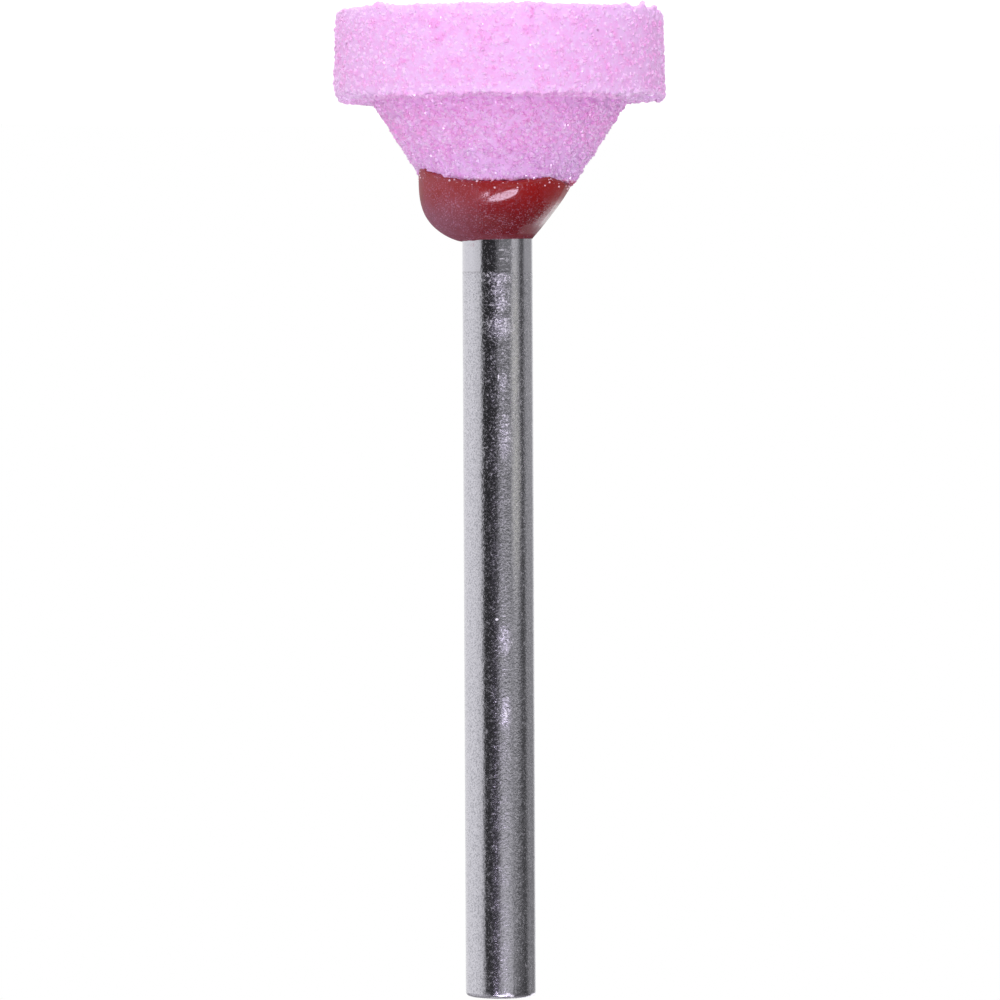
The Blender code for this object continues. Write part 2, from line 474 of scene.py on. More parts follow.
def shoulder_burrs(points, settings):
    """The same under the rim, where the shoulder's edge is broken and uneven."""
    angles, reach = polar(points)
    near_edge = np.clip(1 - np.abs(settings.rim_height - points[:, 2]) / (0.40 * MM), 0.0, 1.0)
    near_edge *= np.clip((reach - settings.back_base_radius - 0.5 * MM) / (0.8 * MM), 0.0, 1.0)
    around = round_axis(angles, settings.face_radius)
    ragged = 0.16 * MM * soft_noise(around, size=0.42 * MM, seed=14)
    ragged += 0.10 * MM * soft_noise(around, size=1.3 * MM, seed=15)
    return near_edge * (ragged + lumps_round(angles, SHOULDER_LUMPS))


class MOUNTED_POINT_OT_stone(Operator):
    """Add the stone's body, with worn corners and a broken, grainy surface"""

    bl_idname = "mounted_point.stone"
    bl_label = "Stone"

    def execute(self, context):
        settings = context.scene.mounted_stone
        points, faces, places = stone_surface(settings)
        material = stone_body_finish(settings)
        stone = new_piece("stone", points, faces, material)
        lay_out(stone, places)
        normals = numbers(stone.data.vertices, "normal")
        burrs = shoulder_burrs(points, settings) - edge_burrs(points, settings)
        points += normals * stone_relief(points, settings)[:, None]
        points[:, 2] += burrs
        move_points(stone, points)
        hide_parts("abrasive_head")
        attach(stone, "root")
        return {"FINISHED"}


# The abrasive grains

GRAIN_SEED = 11
GRAIN_KINDS = (
    # name, share of the grains, size over the mean, roughness, and how much pinker than the mean
    ("grains_pale", 0.37, 1.05, 0.45, -0.16),
    ("grains_pink", 0.32, 1.05, 0.45, 0.05),
    ("grains_clear", 0.31, 0.80, 0.09, -0.12),
)


def crystal():
    """The corners and faces of a grain before it is made uneven: twenty sides, a unit across."""
    upper = [math.tau * i / 5 for i in range(5)]
    rise = math.atan(0.5)
    corners = [(0.0, 0.0, 1.0)]
    corners += [
        (math.cos(t) * math.cos(rise), math.sin(t) * math.cos(rise), math.sin(rise)) for t in upper
    ]
    corners += [(-x, -y, -z) for x, y, z in corners[1:]]
    corners.append((0.0, 0.0, -1.0))
    faces = []
    for i in range(5):
        after = (i + 1) % 5
        # The lower ring is the upper one turned by half a side
        below = 6 + (i + 3) % 5
        faces.append((0, 1 + i, 1 + after))
        faces.append((1 + i, below, 1 + after))
        faces.append((below, 6 + (i + 4) % 5, 1 + after))
        faces.append((11, 6 + (i + 4) % 5, below))
    return np.array(corners) / 2, np.array(faces)


def random_turns(count, random):
    """Rotation matrices that turn things every way alike."""
    turns = random.normal(size=(4, count))
    w, x, y, z = turns / np.linalg.norm(turns, axis=0)
    return np.stack(
        [
            np.stack([1 - 2 * (y * y + z * z), 2 * (x * y - z * w), 2 * (x * z + y * w)], 1),
            np.stack([2 * (x * y + z * w), 1 - 2 * (x * x + z * z), 2 * (y * z - x * w)], 1),
            np.stack([2 * (x * z - y * w), 2 * (y * z + x * w), 1 - 2 * (x * x + y * y)], 1),
        ],
        1,
    )


def scattered(mesh, count, random, keep):
    """Points spread evenly over the triangles of a mesh that keep allows, with their normals."""
    places = numbers(mesh.vertices, "co")
    corners = places[triangle_corners(mesh)]
    across = np.cross(corners[:, 1] - corners[:, 0], corners[:, 2] - corners[:, 0])
    area = np.linalg.norm(across, axis=1) / 2
    chances = area * keep(corners.mean(1))
    chosen = random.choice(len(area), size=count, p=chances / chances.sum())
    share = random.random((count, 2))
    share = np.where(share.sum(1, keepdims=True) > 1, 1 - share, share)
    a, b, c = corners[chosen].transpose(1, 0, 2)
    spots = a + (b - a) * share[:, :1] + (c - a) * share[:, 1:]
    return spots, across[chosen] / (2 * area[chosen, None])


def crystals(name, spots, material, sizes, random):
    """Small angular grains round the given spots, each with its own cell in the baking layout."""
    count = len(spots)
    shape, sides = crystal()
    corners = shape[None] * sizes[:, None, None] * random.uniform(0.72, 1.2, (count, len(shape), 1))
    corners = np.einsum("nij,nkj->nki", random_turns(count, random), corners) + spots[:, None]
    faces = sides[None] + len(shape) * np.arange(count)[:, None, None]
    piece = new_piece(name, corners.reshape(-1, 3), faces.reshape(-1, 3), material, smooth=False)
    cells = math.ceil(math.sqrt(count))
    cell = np.stack([np.arange(count) % cells, np.arange(count) // cells], 1)[:, None, None]
    # In a cell the sides lie in pairs, five pairs across and two up
    side = np.arange(len(sides))
    pair = np.stack([side // 2 % 5 / 5, side // 10 / 2], 1)[None, :, None]
    halves = np.array(
        [[(0.0, 0.0), (0.17, 0.0), (0.0, 0.42)], [(0.19, 0.45), (0.02, 0.45), (0.19, 0.03)]]
    )
    lay_out(piece, (cell + pair + halves[side % 2][None]) / cells)
    return piece


class MOUNTED_POINT_OT_grains(Operator):
    """Scatter the abrasive grains over the stone"""

    bl_idname = "mounted_point.grains"
    bl_label = "Abrasive grains"

    def execute(self, context):
        settings = context.scene.mounted_stone
        random = np.random.default_rng(GRAIN_SEED)
        stone = bpy.data.objects["stone"]
        # Under the bead and in the hole there are none, because nobody sees them there
        hidden_radius = settings.tip_radius - UNDER_BEAD

        def in_sight(places):
            return polar(places)[1] > hidden_radius * (places[:, 2] > 1 * MM)

        for name, share, size, roughness, lift in GRAIN_KINDS:
            count = int(settings.grain_count * share)
            spots, normals = scattered(stone.data, count, random, in_sight)
            sizes = settings.grain_size * size * random.uniform(0.65, 1.35, count)
            # The rim is dressed, so its grains lie deeper than those of the moulded back
            dressed = spots[:, 2] < settings.rim_height - 0.1 * MM
            sunk = sizes * (random.uniform(-0.04, 0.26, count) + 0.18 * dressed)
            material = grain_finish(name, settings, roughness, lift)
            piece = crystals(name, spots - normals * sunk[:, None], material, sizes, random)
            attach(piece, "root")
        return {"FINISHED"}


# The cement

BEAD_COLUMNS = 400
BEAD_STEPS = 110
SMOOTH_FOOT_STEPS = 4
# Over how many columns the bead's body and its lip are evened out
BODY_EVENNESS = 45
LIP_EVENNESS = 9
# How much of the bead's height the lip's own shape and its roll take up
LIP_SHARE = 0.035
LIP_ROLL_SHARE = 0.05
LIP_ROLL = 0.075 * MM
SUNK_IN_PIN = 0.02 * MM
LIP_GRAINS = 120
LIP_GRAIN_STEPS = 26
LIP_GRAIN_SEED = 5
LIP = (
    # where, in degrees, and how far the cement ran down the back there, in millimetres
    (-180, -0.34),
    (-160, -0.20),
    (-143, 0.08),
    (-129, 0.24),
    (-115, 0.05),
    (-92, -0.05),
    (-76, -0.05),
    (-56, 0.08),
    (-43, 0.32),
    (-30, 0.60),
    (-19, 0.80),
    (-12, 0.34),
    (0, 0.24),
    (40, 0.10),
    (95, 0.14),
    (140, -0.12),
    (180, -0.34),
)


def evened(values, width):
    """Values round a full turn, averaged over as many neighbours as the width says."""
    weights = np.hanning(width) / np.hanning(width).sum()
    half = width // 2
    return np.convolve(np.concatenate([values[-half:], values, values[:half]]), weights, "valid")


def bead_points(settings, stone):
    """The bead's outer surface, from under the stone's skin up to the shank, in columns."""
    angles = np.arange(BEAD_COLUMNS) * math.tau / BEAD_COLUMNS
    # The bead is fat towards +X and lean on the other side
    fat = np.cos(angles)
    tip_z = HEAD_HIGH.z + tip_swell(angles)
    slope = math.atan2(stone.back_base_radius - stone.tip_radius, HEAD_HIGH.z - stone.rim_height)
    around = round_axis(angles, stone.tip_radius)
    ripple = 0.06 * soft_noise(around, size=0.40 * MM, seed=5)
    ripple += 0.05 * soft_noise(around, size=0.16 * MM, seed=9)
    places, lengths = np.array(LIP, float).T
    drawn = np.interp(np.mod(np.degrees(angles) + 180, 360) - 180, places, lengths)
    upward = np.linspace(0.0, 1.0, BEAD_STEPS)[:, None] ** 1.4
    at_lip = np.exp(-upward / LIP_SHARE)
    body = evened(drawn, BODY_EVENNESS)
    overlap = (body + (evened(drawn, LIP_EVENNESS) + ripple - body) * at_lip) * MM
    # Where the bead's skin leaves the stone, along the tip and down the back
    down_back = np.maximum(overlap, 0.0)
    sunk = stone.inset + 0.03 * MM
    lip_radius = stone.tip_radius + np.minimum(overlap, 0.0) + down_back * math.sin(slope) - sunk
    lip_z = tip_z - down_back * math.cos(slope) - 0.5 * sunk
    upper_radius = SHANK_HIGH.x + 0.01 * MM
    # From 1 at the lip to 0 on the shank, in a fuller curve on the fat side
    outward = np.maximum(1 - upward ** (2.2 + 1.0 * fat), 0.0) ** (1 / (1.2 + 0.2 * fat))
    rolled = np.sqrt(1 - (1 - np.minimum(upward / LIP_ROLL_SHARE, 1.0)) ** 2)
    uneven = 0.5 * soft_noise(around, size=0.5 * MM, seed=10) * at_lip
    thick = (sunk + LIP_ROLL * (1 + uneven - 0.8 * np.minimum(fat, 0.0))) * rolled
    radius = upper_radius + (lip_radius + thick - upper_radius) * outward
    foot = settings.top + 0.07 * MM * fat
    foot += 0.03 * MM * soft_noise(around, size=0.9 * MM, seed=16)
    height = lip_z + (foot - lip_z) * upward
    places = np.stack([radius * np.cos(angles), radius * np.sin(angles), height], 2)
    places[:, :, 0] += leaning(height) * (1 - outward)
    return angles, places


class MOUNTED_POINT_OT_cement(Operator):
    """Add the bead of cement that holds the shank in the stone"""

    bl_idname = "mounted_point.cement"
    bl_label = "Cement"

    def execute(self, context):
        settings = context.scene.mounted_cement
        stone = context.scene.mounted_stone
        angles, skin = bead_points(settings, stone)
        # Inside the stone the cement goes down the bore, round the shank and under its end
        film_radius = SHANK_HIGH.x + FILM_THICKNESS
        pin_radius = SHANK_HIGH.x - SUNK_IN_PIN
        outside = [(film_radius, CEMENT_LOW.z), (film_radius, HEAD_HIGH.z - 0.2 * MM)]
        inside = [(pin_radius, settings.top), (pin_radius, SHANK_LOW.z)]
        ring = round_axis(angles, 1.0) + (0.0, 0.0, 1.0)

        def ring_at(radius, z):
            return ring * (radius, radius, z) + (leaning(z), 0.0, 0.0)

        rows = [ring_at(*place) for place in outside]
        rows += [skin[0] * (0.8, 0.8, 1.0) - (0.0, 0.0, 0.2 * MM)]
        rows += list(skin)
        rows += [ring_at(*place) for place in inside]
        points = np.concatenate(rows)
        faces, places = tube(len(rows), BEAD_COLUMNS)
        bead = new_piece("cement_bead", points, faces, cement_finish(settings))
        lay_out(bead, places)
        normals = numbers(bead.data.vertices, "normal")
        lumps = 0.006 * MM * soft_noise(points, size=1.3 * MM, seed=6)
        first = (len(outside) + 1) * BEAD_COLUMNS
        last = len(points) - (len(inside) + SMOOTH_FOOT_STEPS) * BEAD_COLUMNS
        lumps[:first] = 0.0
        lumps[last:] = 0.0
        points += normals * lumps[:, None]
        move_points(bead, points)
        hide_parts("cement")
        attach(bead, "root")

        # Loose grains of the stone that the wet cement caught along its lip
        random = np.random.default_rng(LIP_GRAIN_SEED)
        step = random.integers(1, LIP_GRAIN_STEPS, LIP_GRAINS)
        caught = skin[step, random.integers(0, BEAD_COLUMNS, LIP_GRAINS)]
        sizes = (0.03 + 0.10 * random.uniform(0.0, 1.0, LIP_GRAINS) ** 2) * MM
        piece = crystals("lip_grains", caught, wet_grain_finish(), sizes, random)
        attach(piece, "root")
        return {"FINISHED"}


# The shank

PIN_COLUMNS = 240
PIN_SPACING = 0.45 * MM
SEATED_CHAMFER = 0.30 * MM
END_DOME = 0.07 * MM
END_STEPS = 10
TIDE_LINE_Z = 11.77 * MM
LEAN_START = 0.092 * MM
LEAN_START_Z = 10.7 * MM
LEAN_SLOPE = -0.00469


def leaning(height):
    """How far the pin, which isn't set quite straight, is off the stone's axis along X."""
    return LEAN_START + (height - LEAN_START_Z) * LEAN_SLOPE


def pin_profile(settings):
    """The shank's section, from its seated end to its free end, which is a little domed."""
    radius = settings.radius
    low = SHANK_LOW.z
    flat = radius - settings.end_round
    shoulder = SHANK_HIGH.z - END_DOME - settings.end_round
    outline = [(0.0, low), (radius - SEATED_CHAMFER, low), (radius, low + SEATED_CHAMFER)]
    for step in range(END_STEPS + 1):
        turn = math.pi / 2 * step / END_STEPS
        outline.append(
            (flat + settings.end_round * math.cos(turn), shoulder + settings.end_round * math.sin(turn))
        )
    outline += [(flat * r, SHANK_HIGH.z - END_DOME * r**2) for r in (0.8, 0.6, 0.4, 0.2, 0.0)]
    return along(outline, [PIN_SPACING] * (len(outline) - 1))


class MOUNTED_POINT_OT_shank(Operator):
    """Add the steel shank, with its rounded end and its faint turned line"""

    bl_idname = "mounted_point.shank"
    bl_label = "Shank"

    def execute(self, context):
        settings = context.scene.mounted_shank
        profile = pin_profile(settings)
        rows = profile[1:-1, None]
        out = round_axis(np.arange(PIN_COLUMNS) * math.tau / PIN_COLUMNS, 1.0)
        points = (out * rows[:, :, :1] + rows[:, :, 1:] * (0.0, 0.0, 1.0)).reshape(-1, 3)
        faces, places = tube(len(rows), PIN_COLUMNS)
        # Faint waves, drawn out along the pin, break up what it mirrors
        wave = 0.0016 * MM * soft_noise(points * (1.0, 1.0, 0.15), size=0.7 * MM, seed=8)
        points += np.tile(out, (len(rows), 1)) * wave[:, None]
        points[:, 0] += leaning(points[:, 2])
        pin = new_piece("shank_pin", points, faces, steel_finish(settings))
        lay_out(pin, places)
        pin.data.set_sharp_from_angle(angle=math.radians(50))
        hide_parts("shank")
        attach(pin, "root")
        return {"FINISHED"}


# Finishes

ALUMINA_IOR = 1.76
CEMENT_IOR = 1.60
# Painted shade towards the stone's tip, in a paler lilac
STONE_TIP_SHADE = (0.68, 0.42, 0.76)
# Painted light in the nook under the shoulder
STONE_NOOK_LIGHT = (1.0, 0.60, 1.0)
STONE_SOAKED = (0.56, 0.05, 0.08)
# Painted glints: pale specks in the stone's colour that stand for sparkles of light on the grains
STONE_PAINTED_GLINT = (0.97, 0.86, 0.99)
# Fine darker specks in the stone
STONE_DARK_SPECK = (0.58, 0.25, 0.54)
STONE_DARK = (0.20, 0.06, 0.20)
WET_GRAIN = (0.90, 0.62, 0.72)
# Painted shade in the cement's pits
CEMENT_PIT_SHADE = (0.05, 0.008, 0.014)
STEEL_GRIT = (0.22, 0.22, 0.25)
# Painted sheen on the steel
STEEL_SHEEN = (0.70, 0.70, 0.63)
STEEL_LINE = (0.30, 0.29, 0.31)
RED_SMUDGE = (0.42, 0.22, 0.27)


class Value:
    """What a node puts out. The signs of plain sums add Math nodes between values."""

    def __init__(self, nodes, socket):
        self.nodes = nodes
        self.socket = socket

    def __add__(self, other):
        return self.nodes.math("ADD", self, other)

    def __sub__(self, other):
        return self.nodes.math("SUBTRACT", self, other)

    def __rsub__(self, other):
        return self.nodes.math("SUBTRACT", other, self)

    def __mul__(self, other):
        return self.nodes.math("MULTIPLY", self, other)

    def __truediv__(self, other):
        return self.nodes.math("DIVIDE", self, other)

    def __rtruediv__(self, other):
        return self.nodes.math("DIVIDE", other, self)

    def __abs__(self):
        return self.nodes.math("ABSOLUTE", self)


class Nodes:
    """A small helper that adds and links the nodes of one tree."""

    def __init__(self, tree):
        self.tree = tree

    def feed(self, socket, value):
        """Links a socket to a value, or sets it to a plain number or colour."""
        if isinstance(value, Value):
            self.tree.links.new(value.socket, socket)
        elif socket.type == "RGBA":
            socket.default_value = (*value, 1.0)
        else:
            socket.default_value = value

    def add(self, kind, inputs=None, **settings):
        """A new node with its properties set, and its inputs fed by their names or numbers."""
        node = self.tree.nodes.new(kind)
        for name, value in settings.items():
            setattr(node, name, value)
        for socket, value in (inputs or {}).items():
            self.feed(node.inputs[socket], value)
        return node

    def outputs(self, kind, inputs=None, **settings):
        """The values that a new node puts out, by their names."""
        return {
            socket.name: Value(self, socket) for socket in self.add(kind, inputs, **settings).outputs
        }

    def math(self, operation, a, b=0.0, clamp=False):
        """The value of a Math node, kept between 0 and 1 if clamp is set."""
        inputs = {0: a, 1: b}
        return self.outputs("ShaderNodeMath", inputs, operation=operation, use_clamp=clamp)["Value"]

    def larger(self, a, b):
        """The larger of two values."""
        return self.math("MAXIMUM", a, b)

    def vector_math(self, operation, a, b=(0.0, 0.0, 0.0)):
        """The outputs of a Vector Math node."""
        return self.outputs("ShaderNodeVectorMath", {0: a, 1: b}, operation=operation)

    def split(self, place):
        """The three coordinates of a place."""
        return self.outputs("ShaderNodeSeparateXYZ", {"Vector": place}).values()

    def mix(self, factor, a, b):
        """A colour between a and b."""
        node = self.add("ShaderNodeMix", {"Factor": factor}, data_type="RGBA")
        colours = [socket for socket in node.inputs if socket.type == "RGBA"]
        self.feed(colours[0], a)
        self.feed(colours[1], b)
        return next(Value(self, socket) for socket in node.outputs if socket.type == "RGBA")

    def painted(self, tone, *layers):
        """A colour with others laid over it in turn, each as how much there is of it and its tone."""
        for share, laid in layers:
            tone = self.mix(share, tone, laid)
        return tone

    def between(self, value, low, high, to_low=0.0, to_high=1.0):
        """value moved from one range to another, with a smooth start and end, and clamped."""
        inputs = dict(enumerate((value, low, high, to_low, to_high)))
        return self.outputs(
            "ShaderNodeMapRange", inputs, interpolation_type="SMOOTHSTEP", clamp=True
        )["Result"]

    def spot(self, place, centre, reach):
        """1 at a point and fading to 0 at the given reach from it along each axis, in metres."""
        away = self.vector_math("SUBTRACT", place, centre)["Vector"]
        share = self.vector_math("DIVIDE", away, reach)["Vector"]
        return self.between(self.vector_math("LENGTH", share)["Value"], 1.0, 0.2)

    def spots(self, place, radius, table):
        """Spots on the side of a cylinder towards the camera, from rows of millimetres.

        Each row holds how far right and how high the spot lies, and its reach to the side and upwards.
        """
        found = 0.0
        for right, high, aside, upward in table:
            near = -math.sqrt(radius**2 - (right * MM) ** 2)
            reach = (aside * MM, max(aside, 0.4) * MM, upward * MM)
            found = self.larger(found, self.spot(place, (-right * MM, near, high * MM), reach))
        return found

    def noise(self, place, size, detail=2.0, roughness=0.5):
        """Smooth noise from 0 to 1, with bumps of the given size."""
        inputs = {"Vector": place, "Scale": 1.0 / size, "Detail": detail, "Roughness": roughness}
        return self.outputs("ShaderNodeTexNoise", inputs)["Fac"]

    def clouds(self, place, patch, contrast):
        """The mask of the Clouds group."""
        inputs = {"Vector": place, "Patch": patch, "Contrast": contrast}
        return self.outputs("ShaderNodeGroup", inputs, node_tree=clouds_group())["Mask"]

    def specks(self, place, speck, amount, cluster):
        """The mask of the Specks group."""
        inputs = {"Vector": place, "Speck": speck, "Amount": amount, "Cluster": cluster}
        return self.outputs("ShaderNodeGroup", inputs, node_tree=specks_group())["Mask"]


def new_group(name, *numbers_in):
    """A shader node group that makes a mask from a vector and some named numbers."""
    tree = bpy.data.node_groups.new(name, "ShaderNodeTree")
    tree.interface.new_socket("Vector", in_out="INPUT", socket_type="NodeSocketVector")
    for label in numbers_in:
        tree.interface.new_socket(label, in_out="INPUT", socket_type="NodeSocketFloat")
    tree.interface.new_socket("Mask", in_out="OUTPUT", socket_type="NodeSocketFloat")
    nodes = Nodes(tree)
    return nodes, nodes.outputs("NodeGroupInput"), nodes.add("NodeGroupOutput").inputs["Mask"]


def clouds_group():
    """Soft patches in two sizes. Patch is their size in metres."""
    if found := bpy.data.node_groups.get("Clouds"):
        return found
    nodes, given, mask = new_group("Clouds", "Patch", "Contrast")
    large = nodes.noise(given["Vector"], given["Patch"], detail=3.0, roughness=0.6)
    small = nodes.noise(given["Vector"], given["Patch"] / 3.7)
    centred = large + (small - 0.5) * 0.6 - 0.5
    nodes.feed(mask, nodes.between(centred * given["Contrast"] + 0.5, 0.0, 1.0))
    return nodes.tree


def specks_group():
    """Scattered specks. Speck is their size, Amount how many there are, and Cluster gathers them."""
    if found := bpy.data.node_groups.get("Specks"):
        return found
    nodes, given, mask = new_group("Specks", "Speck", "Amount", "Cluster")
    inputs = {"Vector": given["Vector"], "Scale": 1.0 / given["Speck"]}
    cells = nodes.outputs("ShaderNodeTexVoronoi", inputs, feature="F1")
    pick = nodes.outputs("ShaderNodeSeparateColor", {"Color": cells["Color"]})
    gather = nodes.noise(given["Vector"], given["Speck"] / 0.14, detail=3.0, roughness=0.6)
    likely = (gather - 0.5) * given["Cluster"] + given["Amount"]
    chosen = nodes.between(likely - pick["Red"], 0.0, 0.05)
    reach = pick["Green"] * 0.35 + 0.25
    nodes.feed(mask, chosen * nodes.between(reach - cells["Distance"], 0.0, 0.15))
    return nodes.tree


def finish_with(name):
    """A new material: its nodes, the inputs of its Principled shader and the place on the tool."""
    material = bpy.data.materials.new(name)
    material.use_nodes = True
    nodes = Nodes(material.node_tree)
    shader = material.node_tree.nodes["Principled BSDF"]
    return material, nodes, shader.inputs, nodes.outputs("ShaderNodeTexCoord")["Object"]


def bumped(nodes, height, distance):
    """A normal from a height of 0 to 1 that stands for distance metres."""
    return nodes.outputs("ShaderNodeBump", {"Height": height, "Distance": distance})["Normal"]


BACK_SIDE_START = 4.2 * MM
BACK_SIDE_END = 6.0 * MM
BACK_SIDE_RISE = 0.17 * MM
PINK_SPOTS = (
    # right and high, and the reach to the side and upwards, all in millimetres
    (1.17, 1.18, 0.35, 0.35),
    (1.43, 0.30, 0.15, 0.35),
    (-2.90, 0.85, 0.45, 0.40),
    (-2.60, 1.45, 0.35, 0.25),
    (-4.20, 2.44, 0.45, 0.15),
)
DARK_SPOTS = (
    # the same columns
    (4.33, 1.09, 0.11, 0.10),
    (6.62, 1.12, 0.06, 0.05),
    (-6.84, 1.55, 0.06, 0.08),
)


def tinted(nodes, place, settings, lift):
    """The stone's mottled colour, with painted shade towards the tip, painted light in the nook under
    the shoulder and painted glints. lift moves it towards the pink grains.
    """
    x, _, z = nodes.split(place)
    rim = settings.rim_height
    tip = HEAD_HIGH.z
    # The colour of the back starts on the shoulder's edge, and a little further up at the sides
    raised = z - nodes.between(abs(x), BACK_SIDE_START, BACK_SIDE_END, 0.0, BACK_SIDE_RISE)
    back = nodes.between(raised, rim - 0.20 * MM, rim - 0.03 * MM)
    # Painted light: the nook under the shoulder is made pinker and brighter, as if lit by light bouncing
    # in it
    nook_glow = nodes.between(z, rim + 0.9 * MM, rim + 0.1 * MM) * back
    edges = nodes.between(abs(z - rim / 2), rim / 2 - 0.6 * MM, rim / 2 - 0.1 * MM)
    worn = edges * (1.0 - back)
    mottle = nodes.clouds(place, patch=0.44 * MM, contrast=4.0)
    wide = nodes.clouds(place, patch=1.5 * MM, contrast=2.6)
    pinker = nodes.spots(place, settings.face_radius, PINK_SPOTS)
    amount = mottle * 0.62 + wide * 0.30 + pinker * 0.9 + back * 0.14 - worn * 0.40 + nook_glow * 0.20
    amount = nodes.math("ADD", amount, lift, clamp=True)
    # Painted shade: the back grows darker, and a paler lilac, towards the tip
    shaded_near_tip = nodes.between(z, tip - 2.2 * MM, tip - 0.4 * MM, 0.0, 0.44)
    soaked = nodes.between(z, tip - 0.12 * MM, tip + 0.08 * MM) * (mottle * 0.60 + 0.30)
    # Painted glints: pale specks, more on the back, standing for sparkles of light on the grains
    painted_glints = nodes.specks(place, speck=0.078 * MM, amount=0.32, cluster=0.8)
    # Fine darker specks, more on the back
    dark_specks = nodes.specks(place, speck=0.062 * MM, amount=0.32, cluster=0.8)
    dark = nodes.spots(place, settings.face_radius, DARK_SPOTS)
    return nodes.painted(
        nodes.mix(amount, tuple(settings.pale), tuple(settings.pink)),
        (shaded_near_tip, STONE_TIP_SHADE),
        (nook_glow * 0.40, STONE_NOOK_LIGHT),
        (soaked, STONE_SOAKED),
        (painted_glints * (back * 0.50 + 0.22), STONE_PAINTED_GLINT),
        (dark_specks * (back * 0.22 + 0.08), STONE_DARK_SPECK),
        (dark * 0.60, STONE_DARK),
    )


def stone_body_finish(settings):
    """The bond between the grains, mottled like them and finely gritty."""
    material, nodes, shader, place = finish_with("pink_stone_body")
    mottled = tinted(nodes, place, settings, lift=-0.1)
    nodes.feed(shader["Base Color"], nodes.mix(0.45, mottled, tuple(settings.bond)))
    nodes.feed(shader["Roughness"], 0.6)
    nodes.feed(shader["Normal"], bumped(nodes, nodes.noise(place, 0.07 * MM), 0.02 * MM))
    return material


def grain_finish(name, settings, roughness, lift):
    """One kind of grain, with each grain a little paler or pinker and duller than the next."""
    material, nodes, shader, place = finish_with(name)
    island = nodes.outputs("ShaderNodeNewGeometry")["Random Per Island"]
    nodes.feed(shader["Base Color"], tinted(nodes, place, settings, island * 0.22 + (lift - 0.11)))
    nodes.feed(shader["Roughness"], island * 0.2 + (roughness - 0.1))
    nodes.feed(shader["IOR"], ALUMINA_IOR)
    return material


def wet_grain_finish():
    """Clear grains wetted by the cement."""
    material, nodes, shader, _ = finish_with("wet_grains")
    nodes.feed(shader["Base Color"], WET_GRAIN)
    nodes.feed(shader["Roughness"], 0.07)
    nodes.feed(shader["IOR"], ALUMINA_IOR)
    return material


def cement_finish(settings):
    """Glossy red cement, hazy with grinding dust towards its foot and on one side. Painted light makes
    it brighter next to the stone and painted shade darker at its foot; on the dusty side a painted
    reflection adds to the haze.
    """
    material, nodes, shader, place = finish_with("red_cement")
    x, _, z = nodes.split(place)
    lip = HEAD_HIGH.z
    foot = settings.top
    rough = nodes.specks(place, speck=0.085 * MM, amount=0.34, cluster=0.8)
    fine = nodes.specks(place, speck=0.05 * MM, amount=0.40, cluster=0.6)
    # Pits: sunk by the bump, and darkened in the colour with painted shade
    pits = nodes.specks(place, speck=0.06 * MM, amount=0.30, cluster=0.6)
    haze = nodes.clouds(place, patch=0.9 * MM, contrast=1.8)
    dust = nodes.larger(rough, fine)
    low = nodes.between(z, lip + 0.4 * MM, foot - 0.9 * MM)
    side = nodes.between(x, 0.0, 3.5 * MM)
    dusty = nodes.math("ADD", side * 0.55, low * 0.45, clamp=True)
    # On the +X side a hazy film in the dust's colour: partly dust, partly a painted reflection of the
    # bright studio on that side
    film = (haze * 0.11 + low * 0.17) * side
    dust_and_sheen = nodes.math("ADD", dust * 0.38 * (dusty * 0.78 + 0.22), film, clamp=True)
    # Painted light and shade: brighter next to the stone, darker towards the foot, starting a little
    # sooner on the +X side
    shade_towards_foot = nodes.between(side * (0.2 * MM) + z, lip + 0.1 * MM, foot - 0.5 * MM)
    coloured = nodes.painted(
        nodes.mix(shade_towards_foot, tuple(settings.lit_red), tuple(settings.red)),
        (pits * (dusty * 0.45 + 0.20), CEMENT_PIT_SHADE),
        (dust_and_sheen, tuple(settings.dust)),
    )
    nodes.feed(shader["Base Color"], coloured)

    # Where the gloss is lost: at the foot, which is duller on the side away from the run,
    # close under the lip on that same side, and all over the side of the run
    dull_foot = nodes.between(z, foot - 0.32 * MM, foot - 0.08 * MM, 0.0, 0.5)
    away = nodes.between(x, -0.7 * MM, -1.3 * MM, 0.0, 0.45)
    away = away * nodes.between(z, foot - 0.9 * MM, foot - 0.35 * MM)
    lee = nodes.between(x, -1.3 * MM, -2.4 * MM) * nodes.between(z, lip + 1.35 * MM, lip + 0.65 * MM)
    windward = nodes.between(x, 0.2 * MM, 1.9 * MM, 0.0, 0.36)
    dull = windward + lee * 0.4 + away + dull_foot
    nodes.feed(shader["Roughness"], nodes.math("ADD", dust_and_sheen * 0.9 + 0.10, dull, clamp=True))
    nodes.feed(shader["IOR"], CEMENT_IOR)
    height = (dust - pits * 0.5) * (dusty * 0.7 + 0.3)
    nodes.feed(shader["Normal"], bumped(nodes, height, 0.011 * MM))
    return material


